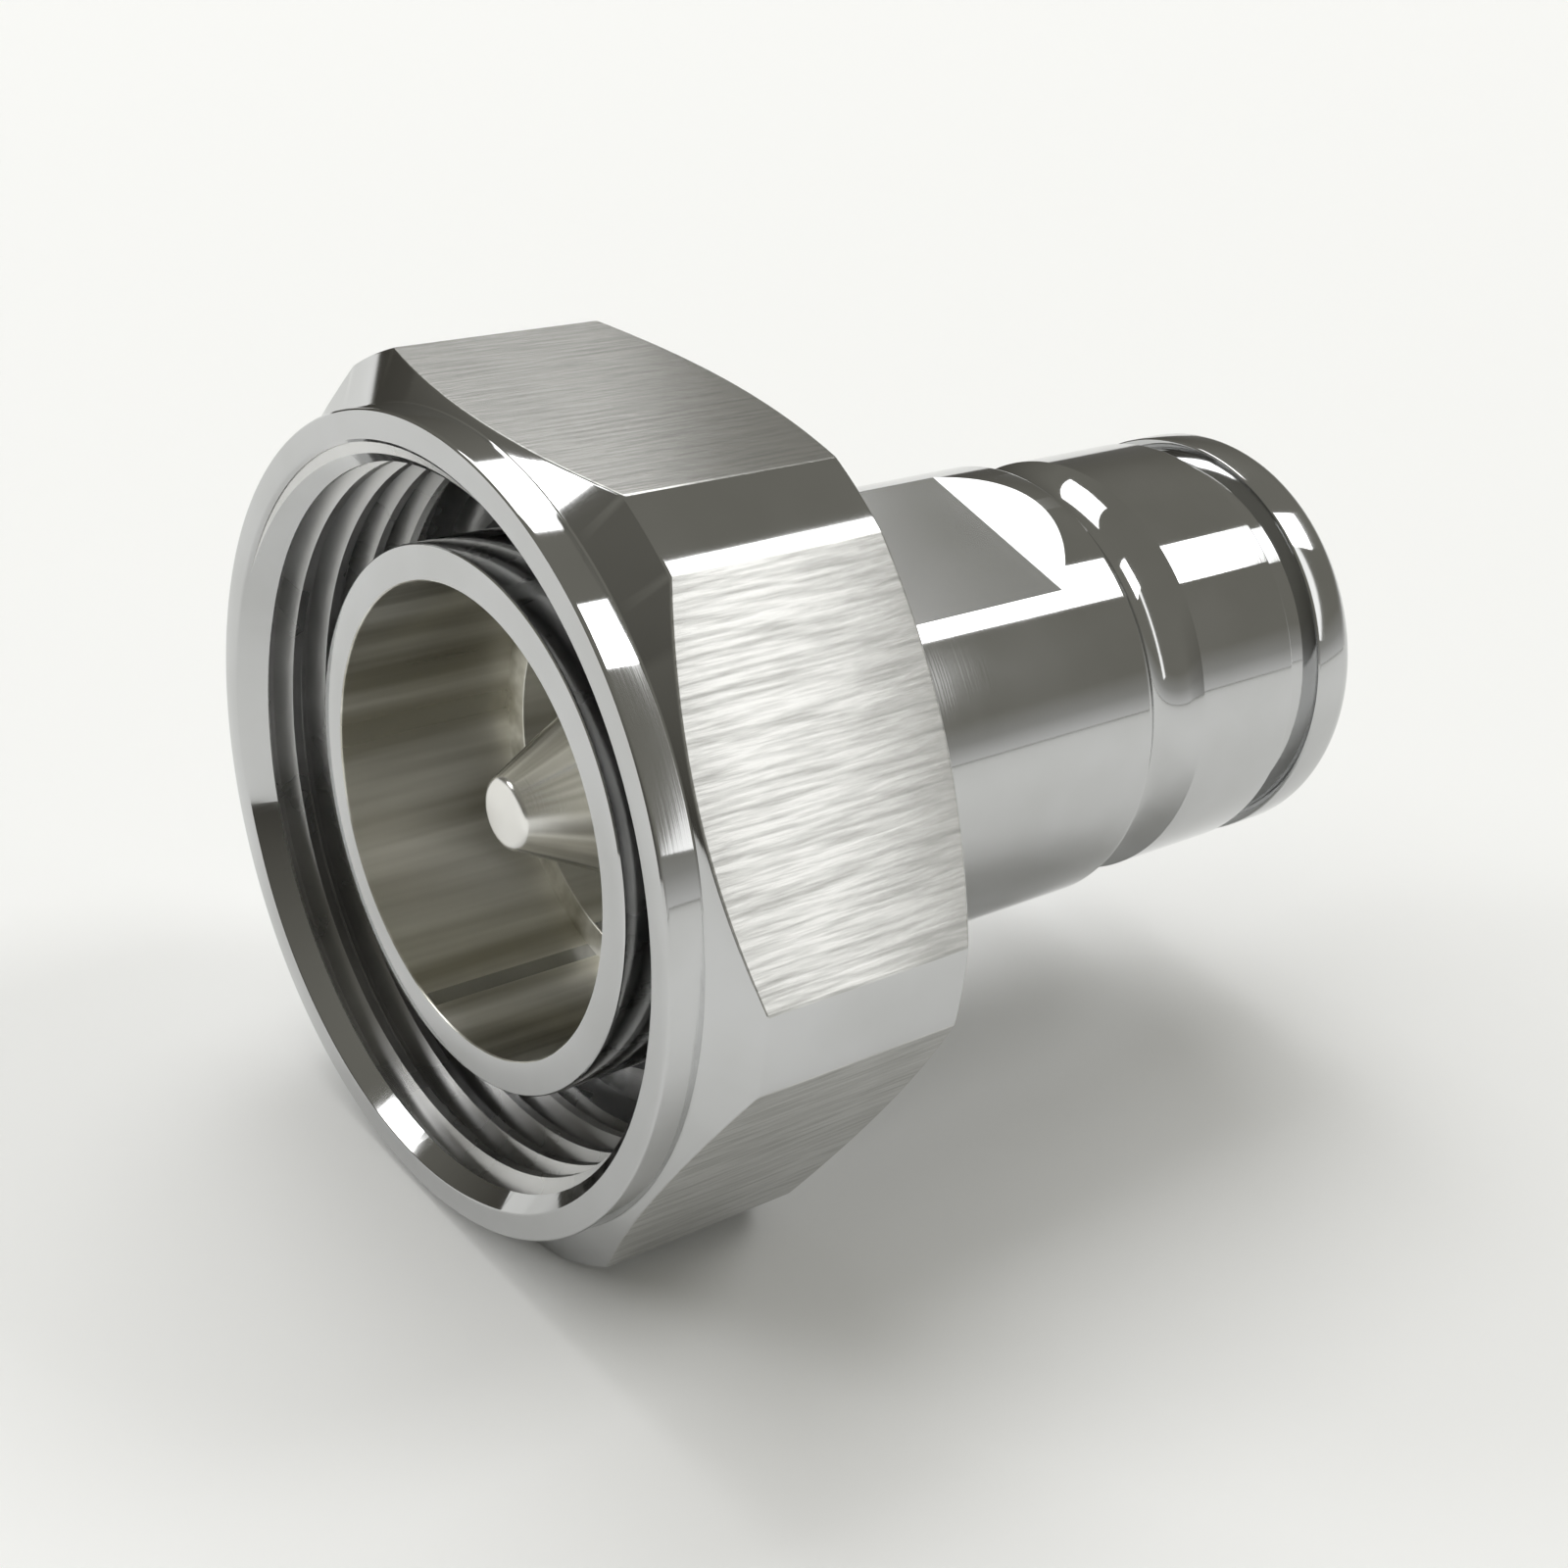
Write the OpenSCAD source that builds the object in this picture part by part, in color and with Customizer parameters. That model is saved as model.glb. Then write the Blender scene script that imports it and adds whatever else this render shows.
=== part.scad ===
// Large coaxial plug: an M29 coupling nut turning on a clamp-type cable connector body.
// The axis runs along +X from the mating end to the cable end, with +Z up.
// The origin is the centre of the outer contact's front face, the mating reference plane.

/* [Coupling nut] */
// Nominal diameter of the coupling thread
thread_d = 29; // [26:0.25:32]
// Pitch of the coupling thread
thread_pitch = 1.5; // [1:0.25:2]
// Wall from the thread's outer diameter to the hexagon's flats
nut_wall = 1.5; // [1.2:0.1:3.5]
// Depth turned off each hexagon corner, on the radius
nut_corner_trim = 0.88; // [0.4:0.02:1.6]
// Depth of the front collar's side below the flats
nut_collar_step = 0.3; // [0.15:0.05:0.6]
// Slope of the turned chamfers, from the end faces, in degrees
nut_chamfer_angle = 30; // [26:1:40]
// Distance from the nut's front face to the front arcs of the flats
nut_front_setback = 1.65; // [1.2:0.05:2.4]
// Distance from the rear arcs of the flats to the nut's rear face
nut_rear_setback = 0.92; // [0.6:0.02:1.1]
// Distance that the nut's front face stands ahead of the reference plane
nut_lead = 1.75; // [1.2:0.05:2.4]
// Length of the threaded bore, from the nut's front face
thread_length = 8.15; // [7:0.05:11]
// Spread of the mouth chamfer outside the thread, on the radius
mouth_flare = 0.15; // [0.05:0.05:0.3]
// Width of the relief behind the thread
relief_width = 1.8; // [1.8:0.1:3]
// Depth of the relief outside the thread, on the radius
relief_depth = 0.1; // [0.05:0.05:0.25]
// Thickness of the inner web that carries the nut on the body
nut_web = 2.2; // [2:0.1:4]
// Length of the rear skirt around the retaining ring
nut_skirt = 1.15; // [1.05:0.05:2.5]

/* [Outer contact] */
// Radial space for the jack's rim between the coupling thread and the contact tube
contact_space = 3.09; // [2.8:0.01:3.5]
// Wall of the outer contact tube
contact_wall = 1.4; // [1.1:0.05:1.6]
// Depth of the outer contact tube's bore
contact_bore_depth = 7.8; // [7:0.1:10]
// Step from the contact tube's bore in to the line section behind it
line_step = 1.2; // [0.4:0.05:1.8]
// Length of the line section
line_length = 4.2; // [3:0.1:6]
// Edge break on the contact tube's rims
rim_break = 0.12; // [0.05:0.01:0.3]

/* [Centre contact] */
// Diameter of the centre pin
pin_d = 7; // [6:0.1:7.6]
// Diameter of the pin's flat tip
pin_tip_d = 2.8; // [2:0.1:3.6]
// Distance of the pin's tip behind the reference plane
pin_recess = 1.8; // [1.2:0.05:3]
// Half angle of the pin's tip cone, in degrees
pin_tip_angle = 25.5; // [22:0.5:35]
// Diameter of the pin's waist inside the insulator
pin_waist_d = 4.4; // [3.6:0.1:5]
// Step from the waist out to the solder cup, on the radius
cup_step = 0.4; // [0.2:0.05:0.5]
// Length of the solder cup behind the insulator
cup_length = 3.5; // [2.6:0.1:4.4]
// Bore of the solder cup
cup_bore_d = 2.5; // [1.8:0.1:2.8]
// Depth of the solder cup's bore
cup_bore_depth = 2.9; // [2:0.1:4]
// Diameter of the solder hole in the side of the cup
solder_hole_d = 1; // [0.6:0.1:1.4]

/* [Nut bearing] */
// Step from the body's round side out to the journal that the nut turns on
journal_step = 1.49; // [1.1:0.01:1.8]
// Thickness of the body's flange in front of the nut's web
flange_thickness = 1.6; // [1.2:0.1:2]
// Radial gap between the flange and the coupling thread
flange_gap = 0.29; // [0.2:0.01:0.6]
// Radial running clearance between the nut's web and the journal
nut_clearance = 0.08; // [0.04:0.01:0.1]
// Axial float of the nut on each side of its web
nut_float = 0.12; // [0.08:0.01:0.3]
// Thickness of the split retaining ring
ring_thickness = 0.7; // [0.5:0.05:0.8]
// Height of the retaining ring above the journal
ring_height = 1.2; // [0.8:0.05:1.3]
// Depth of the retaining ring's groove in the journal
ring_groove_depth = 0.8; // [0.5:0.05:1]
// Width of the split in the retaining ring
ring_split = 3; // [2:0.1:5]
// Radial gap between the retaining ring and the nut's skirt
skirt_gap = 0.45; // [0.3:0.05:0.6]
// Length of the shoulder behind the retaining ring
journal_lip = 0.6; // [0.4:0.05:1.2]
// Section of the round seal between the nut and the body
nut_seal_section = 0.9; // [0.7:0.05:1]
// Thickness of the front gasket
gasket_thickness = 0.8; // [0.6:0.05:1]
// Depth of the recess that holds the front gasket on the contact tube
gasket_recess = 0.2; // [0.1:0.05:0.3]
// Setback of the gasket's rim inside the flange's rim
gasket_setback = 2.1; // [0.4:0.05:2.3]

/* [Cable clamp] */
// Outer diameter of the cable that the plug takes
cable_d = 10.3; // [9.4:0.1:11.2]
// Radial room around the cable in the clamp nut
cable_clearance = 0.2; // [0.1:0.05:0.3]
// Diameter of the cable's dielectric, which the braid clamp fits over
dielectric_d = 7.25; // [6.6:0.05:7.6]
// Wall of the clamp nut under its seal groove
clamp_groove_wall = 1.05; // [0.9:0.05:1.4]
// Section of the round seal between the clamp nut and the body
clamp_seal_section = 1; // [0.8:0.05:1.2]
// Room on each side of that seal in its groove
seal_room = 0.15; // [0.05:0.05:0.2]
// Land between the seal's groove and the clamp nut's shoulder
seal_land = 0.2; // [0.1:0.05:0.4]
// Radial clearance of the clamp nut's thread in the body
clamp_clearance = 0.08; // [0.04:0.01:0.1]
// Wall of the body outside the clamp nut's thread
body_wall = 2; // [1.7:0.05:2.6]
// Step from the clamp thread in to the pocket for the inner parts
pocket_step = 0.6; // [0.4:0.05:0.7]
// Height of the lip that stops the insulator
insulator_lip = 0.5; // [0.3:0.05:0.8]
// Length of the insulator's lip
lip_length = 1; // [0.8:0.1:2]
// Length of the insulator
insulator_length = 3; // [2.5:0.1:4]
// Length of the bush that holds the insulator
bush_length = 1; // [0.8:0.1:1.6]
// Wall of the bush that holds the insulator
bush_wall = 1.1; // [0.8:0.1:1.6]
// Thickness of the braid clamp's flange
braid_flange = 0.8; // [0.6:0.1:1.2]
// Length of the braid clamp's tapered tail
braid_tail = 1.6; // [1.2:0.1:2.2]
// Length of the cable seal
seal_length = 2.2; // [1.8:0.1:3]
// Depth of the vees in the cable seal's ends and of the braid clamp's nose
seal_vee = 0.5; // [0.3:0.05:0.6]
// Squeeze of the cable seal's bore on the cable, on the radius
seal_squeeze = 0.05; // [0:0.01:0.1]
// Thickness of the thrust washer
washer_thickness = 0.8; // [0.6:0.05:1.2]
// Axial gap on the clamp nut's bearing faces
thrust_gap = 0.05; // [0.03:0.01:0.1]
// Length of the clamp nut's thread inside the body
clamp_thread_length = 5.3; // [4.8:0.1:7]
// Depth of the clamp thread in the body
body_thread_depth = 6.6; // [5:0.1:7]
// Radial gap of the pieces seated in the body
seat_gap = 0.03; // [0.02:0.01:0.05]

/* [Body outside] */
// Depth of the wrench flats below the body's round side
flat_depth = 1; // [0.6:0.05:1.2]
// Length of the wrench flats' floor
flat_length = 10.2; // [8:0.1:11]
// Length of the sloped run-out at the wrench flats' rear end
flat_runout = 2.05; // [0.5:0.05:2.4]
// Distance from the wrench flats' floor to the body's rear end
flat_margin = 3.3; // [2.8:0.1:5]
// Turn of the wrench flats from the nut's upper flat, in degrees
flat_turn = 11; // [0:1:60]
// Rounding of the body's rear edge
body_edge = 0.35; // [0.2:0.05:0.5]

/* [Clamp nut outside] */
// Step from the body's side in to the clamp nut's barrel
barrel_step = 0.3; // [0.1:0.05:0.6]
// Length of the waisted neck between the body and the barrel
neck_length = 2.9; // [2:0.1:4]
// Depth of the neck's hollow below its rims
neck_depth = 0.5; // [0.3:0.05:0.7]
// Length of the barrel, to the cable end
barrel_length = 10.1; // [8:0.1:14]
// Edge break from the neck's rims out to the barrel
barrel_edge = 0.3; // [0.15:0.05:0.5]
// Length of the end ring behind the sleeve groove
end_ring = 2.5; // [2:0.1:4]
// Width of the groove for a shrink sleeve
sleeve_groove_width = 1.7; // [1:0.1:2.4]
// Depth of the groove for a shrink sleeve
sleeve_groove_depth = 0.5; // [0.3:0.05:0.8]
// Rounding of the cable end's outer edge
end_round = 0.9; // [0.5:0.05:1.4]
// Flare of the cable bore's mouth
cable_flare = 0.6; // [0.3:0.05:1]

/* [Hidden] */
turn_fn = 96;
cut_over = 1;

// Radii of the coupling nut
flat_r = thread_d / 2 + nut_wall;
corner_r = flat_r / cos(30) - nut_corner_trim;
collar_r = flat_r - nut_collar_step;
thread_height = 5 / 8 * cos(30) * thread_pitch;
thread_minor_r = thread_d / 2 - thread_height;
mouth_r = thread_d / 2 + mouth_flare;
relief_r = thread_d / 2 + relief_depth;
collar_edge = (collar_r - mouth_r) / 6;
chamfer_run = tan(nut_chamfer_angle);

// Places along the axis of the coupling nut and its bearing
nut_front = -nut_lead;
thread_end = nut_front + thread_length;
web_front = thread_end + relief_width;
web_rear = web_front + nut_web;
nut_rear = web_rear + nut_skirt;
flange_rear = web_front - nut_float;
flange_front = flange_rear - flange_thickness;
ring_front = web_rear + nut_float;
ring_rear = ring_front + ring_thickness;
journal_end = ring_rear + journal_lip;

// Radii of the cable clamp, from the cable outwards
cable_bore_r = cable_d / 2 + cable_clearance;
seal_groove_r = cable_bore_r + clamp_groove_wall;
clamp_thread_r = seal_groove_r + clamp_seal_section + seat_gap;
body_thread_r = clamp_thread_r + clamp_clearance;
body_r = body_thread_r + body_wall;
pocket_r = body_thread_r - pocket_step;
lip_r = pocket_r - insulator_lip;
seated_r = pocket_r - seat_gap;
pin_r = pin_d / 2;
waist_r = pin_waist_d / 2;
cup_r = waist_r + cup_step;
dielectric_r = dielectric_d / 2 + seat_gap;
seal_bore_r = cable_d / 2 - seal_squeeze;
vee_r = (seal_bore_r + seated_r) / 2;

// Radii of the nut's bearing
contact_r = thread_minor_r - contact_space;
contact_bore_r = contact_r - contact_wall;
line_r = contact_bore_r - line_step;
recess_r = contact_r - gasket_recess;
recess_front = flange_front - gasket_thickness - seat_gap;
flange_r = thread_minor_r - flange_gap;
journal_r = body_r + journal_step;
web_bore_r = journal_r + nut_clearance;
ring_r = journal_r + ring_height;
ring_groove_r = journal_r - ring_groove_depth;
skirt_bore_r = ring_r + skirt_gap;
nut_rear_r = flat_r - nut_rear_setback / chamfer_run;
nut_seal_r = journal_r + nut_clearance / 2;
nut_seal_groove_r = nut_seal_r - nut_seal_section - seat_gap;
nut_seal_x = (web_front + web_rear) / 2;

// Places along the axis of the inner parts
lip_front = contact_bore_depth + line_length;
insulator_front = lip_front + lip_length;
insulator_rear = insulator_front + insulator_length;
bush_rear = insulator_rear + bush_length;
braid_rear = bush_rear + braid_flange + braid_tail;
seal_front = braid_rear - seal_vee + seat_gap;
seal_rear = seal_front + seal_length;
washer_rear = seal_rear + washer_thickness;
clamp_front = washer_rear + thrust_gap;
body_rear = clamp_front + clamp_thread_length;
cup_rear = insulator_rear + cup_length;
pin_cone_rear = pin_recess + (pin_r - pin_tip_d / 2) / tan(pin_tip_angle);

// Body and clamp nut outside
flat_floor = body_r - flat_depth;
flat_rear = body_rear - flat_margin;
flat_front = flat_rear - flat_length;
barrel_r = body_r - barrel_step;
neck_r = barrel_r - barrel_edge;
neck_front = body_rear + thrust_gap;
barrel_front = neck_front + neck_length;
barrel_rear = barrel_front + barrel_length;
sleeve_groove_r = barrel_r - sleeve_groove_depth;
sleeve_rear = barrel_rear - end_ring;
sleeve_front = sleeve_rear - sleeve_groove_width;
neck_round = (neck_length * neck_length / 4 + neck_depth * neck_depth) / (2 * neck_depth);
clamp_groove_rear = body_rear - seal_land;
clamp_groove_front = clamp_groove_rear - clamp_seal_section - 2 * seal_room;

// Turns a profile of [radius, place along the axis] points about the connector's axis
module turned(points) {
    rotate([0, 90, 0])
        rotate_extrude($fn = turn_fn)
            polygon(points);
}

// A plain ring from one place along the axis to another
module ring(inner_r, outer_r, front, rear) {
    turned([[inner_r, front], [outer_r, front], [outer_r, rear], [inner_r, rear]]);
}

// A ring of round section, with its outside at outer_r
module round_ring(outer_r, section, place) {
    rotate([0, 90, 0])
        translate([0, 0, place])
            rotate_extrude($fn = turn_fn)
                translate([outer_r - section / 2, 0])
                    circle(d = section, $fn = 48);
}

// Cutter that rounds the outer edge of a turned piece's rear end
module rear_rounding(outer_r, rear, radius) {
    difference() {
        ring(outer_r - radius, outer_r + cut_over, rear - radius, rear + cut_over);
        round_ring(outer_r, 2 * radius, rear - radius);
    }
}

// Hexagon bar, one flat up
module hexagon_bar() {
    rotate([0, 90, 0])
        translate([0, 0, nut_front])
            rotate([0, 0, 30])
                cylinder(r = flat_r / cos(30), h = nut_rear - nut_front, $fn = 6);
}

// Turned outside of the nut: collar, front chamfer, trimmed corners, rear chamfer
module nut_turned_outside() {
    front_arc = nut_front + nut_front_setback;
    rear_arc = nut_rear - nut_rear_setback;
    corner_rise = (corner_r - flat_r) * chamfer_run;
    turned([
        [0, nut_front],
        [collar_r - collar_edge, nut_front],
        [collar_r, nut_front + collar_edge],
        [collar_r, front_arc - nut_collar_step * chamfer_run],
        [corner_r, front_arc + corner_rise],
        [corner_r, rear_arc - corner_rise],
        [nut_rear_r, nut_rear],
        [0, nut_rear]
    ]);
}

// Bore of the nut: mouth chamfer, thread at its minor diameter, relief, web and skirt
module nut_bore() {
    mouth_depth = mouth_r - thread_minor_r;
    relief_taper = relief_r - thread_minor_r;
    turned([
        [0, nut_front - cut_over],
        [mouth_r + cut_over, nut_front - cut_over],
        [mouth_r, nut_front],
        [thread_minor_r, nut_front + mouth_depth],
        [thread_minor_r, thread_end - relief_taper],
        [relief_r, thread_end],
        [relief_r, web_front],
        [web_bore_r, web_front],
        [web_bore_r, web_rear],
        [skirt_bore_r, web_rear],
        [skirt_bore_r, nut_rear + cut_over],
        [0, nut_rear + cut_over]
    ]);
}

// Coupling nut: plated brass, turned from hexagon bar, with its flats milled along the axis
module coupling_nut() {
    color([0.78, 0.78, 0.76])
        difference() {
            intersection() {
                hexagon_bar();
                nut_turned_outside();
            }
            nut_bore();
        }
}

// Split spring ring in the journal's groove, which keeps the nut from sliding back
module retaining_ring() {
    color([0.66, 0.66, 0.68])
        difference() {
            ring(ring_groove_r + seat_gap, ring_r, ring_front, ring_rear);
            translate([ring_front - cut_over, -ring_split / 2, -ring_r - cut_over])
                cube([ring_thickness + 2 * cut_over, ring_split, ring_r + cut_over]);
        }
}

// Silicone gasket on the flange, which seals against the jack's front rim
module front_gasket() {
    color([0.16, 0.16, 0.17])
        ring(recess_r + seat_gap, flange_r - gasket_setback, flange_front - gasket_thickness, flange_front);
}

// Round seal in the journal, under the nut's web
module nut_seal() {
    color([0.1, 0.1, 0.1])
        round_ring(nut_seal_r, nut_seal_section, nut_seal_x);
}

// Outside and bore of the body in one turned profile
module body_turned() {
    seal_groove_half = nut_seal_section / 2 + seat_gap;
    turned([
        [contact_bore_r + rim_break, 0],
        [contact_r - rim_break, 0],
        [contact_r, rim_break],
        [contact_r, recess_front],
        [recess_r, recess_front],
        [recess_r, flange_front],
        [flange_r, flange_front],
        [flange_r, flange_rear],
        [journal_r, flange_rear],
        [journal_r, nut_seal_x - seal_groove_half],
        [nut_seal_groove_r, nut_seal_x - seal_groove_half],
        [nut_seal_groove_r, nut_seal_x + seal_groove_half],
        [journal_r, nut_seal_x + seal_groove_half],
        [journal_r, ring_front - seat_gap],
        [ring_groove_r, ring_front - seat_gap],
        [ring_groove_r, ring_rear + seat_gap],
        [journal_r, ring_rear + seat_gap],
        [journal_r, journal_end],
        [body_r, journal_end + journal_step],
        [body_r, body_rear],
        [body_thread_r, body_rear],
        [body_thread_r, body_rear - body_thread_depth + pocket_step],
        [pocket_r, body_rear - body_thread_depth],
        [pocket_r, insulator_front],
        [lip_r, insulator_front],
        [lip_r, lip_front],
        [line_r, lip_front],
        [line_r, contact_bore_depth],
        [contact_bore_r, contact_bore_depth],
        [contact_bore_r, rim_break]
    ]);
}

// Cutter for one wrench flat, with a sloped run-out towards the cable end
module wrench_flat() {
    rotate([90, 0, 0])
        linear_extrude(height = 2 * body_r + 2 * cut_over, center = true)
            polygon([
                [flat_front, flat_floor],
                [flat_rear, flat_floor],
                [flat_rear + 2 * flat_runout, flat_floor + 2 * flat_depth],
                [flat_front, flat_floor + 2 * flat_depth]
            ]);
}

// Connector body: plated brass, one turned piece with the outer contact tube, flange and two wrench flats
module connector_body() {
    color([0.72, 0.72, 0.7])
        difference() {
            body_turned();
            rear_rounding(body_r, body_rear, body_edge);
            for (side = [0, 180])
                rotate([flat_turn + side, 0, 0])
                    wrench_flat();
        }
}

// Centre contact: silver-plated brass pin with a tapered tip and a solder cup
module centre_contact() {
    color([0.82, 0.81, 0.78])
        difference() {
            turned([
                [0, pin_recess],
                [pin_tip_d / 2, pin_recess],
                [pin_r, pin_cone_rear],
                [pin_r, insulator_front - seat_gap],
                [waist_r, insulator_front - seat_gap],
                [waist_r, insulator_rear + seat_gap],
                [cup_r, insulator_rear + seat_gap],
                [cup_r, cup_rear],
                [cup_bore_d / 2, cup_rear],
                [cup_bore_d / 2, cup_rear - cup_bore_depth],
                [0, cup_rear - cup_bore_depth]
            ]);
            translate([cup_rear - cup_bore_depth + solder_hole_d / 2, 0, 0])
                cylinder(d = solder_hole_d, h = cup_r + cut_over, $fn = 32);
        }
}

// Insulating bead that centres the pin in the body
module insulator() {
    color([0.95, 0.95, 0.92])
        ring(waist_r + seat_gap, seated_r, insulator_front, insulator_rear);
}

// Bush pressed in behind the insulator
module insulator_bush() {
    color([0.75, 0.66, 0.4])
        ring(seated_r - bush_wall, seated_r, insulator_rear, bush_rear);
}

// Braid clamp: a sleeve over the dielectric, tapered for the folded braid, with a nose that bites the seal
module braid_clamp() {
    color([0.78, 0.7, 0.45])
        turned([
            [dielectric_r, bush_rear],
            [seated_r, bush_rear],
            [seated_r, bush_rear + braid_flange],
            [vee_r, braid_rear],
            [seal_bore_r, braid_rear - seal_vee],
            [dielectric_r, braid_rear - seal_vee]
        ]);
}

// Cable seal: a rubber ring with a vee in each end
module cable_seal() {
    color([0.13, 0.13, 0.14])
        turned([
            [seal_bore_r, seal_front],
            [vee_r, seal_front + seal_vee],
            [seated_r, seal_front],
            [seated_r, seal_rear],
            [vee_r, seal_rear - seal_vee],
            [seal_bore_r, seal_rear]
        ]);
}

// Thrust washer: keeps the turning clamp nut from twisting the seal
module thrust_washer() {
    color([0.76, 0.76, 0.74])
        ring(cable_bore_r, seated_r, seal_rear + thrust_gap / 2, washer_rear);
}

// Outside and bore of the clamp nut, in one turned profile
module clamp_nut_turned() {
    thread_lead = clamp_thread_r - seal_groove_r;
    turned([
        [cable_bore_r, clamp_front],
        [clamp_thread_r - thread_lead / 2, clamp_front],
        [clamp_thread_r, clamp_front + thread_lead / 2],
        [clamp_thread_r, clamp_groove_front],
        [seal_groove_r, clamp_groove_front],
        [seal_groove_r, clamp_groove_rear],
        [clamp_thread_r, clamp_groove_rear],
        [clamp_thread_r, neck_front],
        [neck_r, neck_front],
        [neck_r, barrel_front],
        [barrel_r, barrel_front + barrel_edge],
        [barrel_r, sleeve_front],
        [sleeve_groove_r, sleeve_front],
        [sleeve_groove_r, sleeve_rear],
        [barrel_r, sleeve_rear],
        [barrel_r, barrel_rear],
        [cable_bore_r + cable_flare, barrel_rear],
        [cable_bore_r, barrel_rear - cable_flare]
    ]);
}

// Clamp nut: plated brass, screwed into the body, with a waisted neck and a grooved barrel
module clamp_nut() {
    color([0.74, 0.74, 0.72])
        difference() {
            clamp_nut_turned();
            rear_rounding(barrel_r, barrel_rear, end_round);
            rotate([0, 90, 0])
                translate([0, 0, neck_front + neck_length / 2])
                    rotate_extrude($fn = turn_fn)
                        translate([neck_r - neck_depth + neck_round, 0])
                            circle(r = neck_round, $fn = 64);
        }
}

// Round seal in the clamp nut's groove, just inside the body's rear end
module clamp_seal() {
    color([0.1, 0.1, 0.1])
        round_ring(clamp_thread_r, clamp_seal_section, (clamp_groove_front + clamp_groove_rear) / 2);
}

coupling_nut();
retaining_ring();
front_gasket();
nut_seal();
connector_body();
centre_contact();
insulator();
insulator_bush();
braid_clamp();
cable_seal();
thrust_washer();
clamp_nut();
clamp_seal();
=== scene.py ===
import math

import bpy
from mathutils import Matrix, Vector


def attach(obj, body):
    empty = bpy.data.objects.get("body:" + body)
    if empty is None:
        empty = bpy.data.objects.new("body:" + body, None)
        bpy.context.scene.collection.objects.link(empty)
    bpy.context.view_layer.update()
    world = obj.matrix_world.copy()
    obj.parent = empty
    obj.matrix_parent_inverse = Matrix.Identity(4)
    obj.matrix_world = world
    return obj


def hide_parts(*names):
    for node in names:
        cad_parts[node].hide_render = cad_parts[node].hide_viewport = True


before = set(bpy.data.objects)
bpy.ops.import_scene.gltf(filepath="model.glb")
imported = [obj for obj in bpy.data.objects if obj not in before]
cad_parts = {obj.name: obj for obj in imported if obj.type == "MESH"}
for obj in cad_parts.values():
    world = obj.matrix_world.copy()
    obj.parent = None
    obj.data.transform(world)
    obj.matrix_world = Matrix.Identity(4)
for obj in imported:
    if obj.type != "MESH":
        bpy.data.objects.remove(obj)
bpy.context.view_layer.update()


# Connector body
# One piece of brass bar, turned outside and bored through from both ends: the
# outer contact tube, the flange and journal that carry the nut, and the round
# body with two wrench flats milled across it. Bright plated all over.

MM = 0.001
MERGE = 0.001 * MM
SEAM_MERGE = 0.002 * MM
FINE_STEPS = 240

# Sizes are in mm. The name of a surface alone is its radius, and FRONT, REAR and END are
# places along the axis.
TUBE_OUTSIDE = 10.598
TUBE_BORE = 9.198
TUBE_DEPTH = 7.8
LINE_BORE = 7.998
LINE_END = 12.0
GASKET_SEAT = 10.398
GASKET_SEAT_FRONT = 5.65
FLANGE = 13.398
FLANGE_FRONT = 6.48
FLANGE_REAR = 8.08
JOURNAL = 11.0
JOURNAL_END = 11.82
SEAL_GROOVE = 10.11
SEAL_GROOVE_FRONT = 8.82
SEAL_GROOVE_REAR = 9.78
RING_GROOVE = 10.2
RING_GROOVE_FRONT = 10.49
RING_GROOVE_REAR = 11.25
BODY = 9.51
BODY_FRONT = JOURNAL_END + JOURNAL - BODY
BODY_REAR = 27.28
BODY_THREAD = 7.51
BODY_THREAD_END = 21.28
POCKET = 6.91
POCKET_REAR = BODY_THREAD_END - BODY_THREAD + POCKET
BEAD_LIP = 6.41
BEAD_FRONT = 13.0

FLAT_DEPTH = 1.0
FLAT_FLOOR = BODY - FLAT_DEPTH
FLAT_FRONT = 13.78
FLAT_REAR = 23.98
FLAT_RUN = 2.05
FLAT_TURN = math.radians(11)
MILL_WIDTH = 24
MILL_HEIGHT = 4

# Limits that tell which finish a face has, and how far out the bore's painted reflection streaks
# reach
BORE_STREAKS_LIMIT = 9.25
FLAT_FINISH = 8.4
FLAT_FACING = 0.9995
BODY_SMOOTHING = 20

body_outline = [
    (0, TUBE_BORE, 0.12), (0, TUBE_OUTSIDE, 0.12),
    (GASKET_SEAT_FRONT, TUBE_OUTSIDE, 0.05), (GASKET_SEAT_FRONT, GASKET_SEAT),
    (FLANGE_FRONT, GASKET_SEAT), (FLANGE_FRONT, FLANGE, 0.1),
    (FLANGE_REAR, FLANGE, 0.1), (FLANGE_REAR, JOURNAL),
    (SEAL_GROOVE_FRONT, JOURNAL, 0.05), (SEAL_GROOVE_FRONT, SEAL_GROOVE),
    (SEAL_GROOVE_REAR, SEAL_GROOVE), (SEAL_GROOVE_REAR, JOURNAL, 0.05),
    (RING_GROOVE_FRONT, JOURNAL, 0.04), (RING_GROOVE_FRONT, RING_GROOVE),
    (RING_GROOVE_REAR, RING_GROOVE), (RING_GROOVE_REAR, JOURNAL, 0.04),
    (JOURNAL_END, JOURNAL, 0.1), (BODY_FRONT, BODY, 0.1),
    (BODY_REAR, BODY, 0.35), (BODY_REAR, BODY_THREAD, 0.2),
    (BODY_THREAD_END, BODY_THREAD), (POCKET_REAR, POCKET),
    (BEAD_FRONT, POCKET), (BEAD_FRONT, BEAD_LIP),
    (LINE_END, BEAD_LIP, 0.08), (LINE_END, LINE_BORE),
    (TUBE_DEPTH, LINE_BORE, 0.08), (TUBE_DEPTH, TUBE_BORE),
]


def corner_place(corner):
    """Where a corner of an outline, (x, radius) in mm, lies above the X axis."""
    return Vector((corner[0] * MM, 0, corner[1] * MM))


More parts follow.
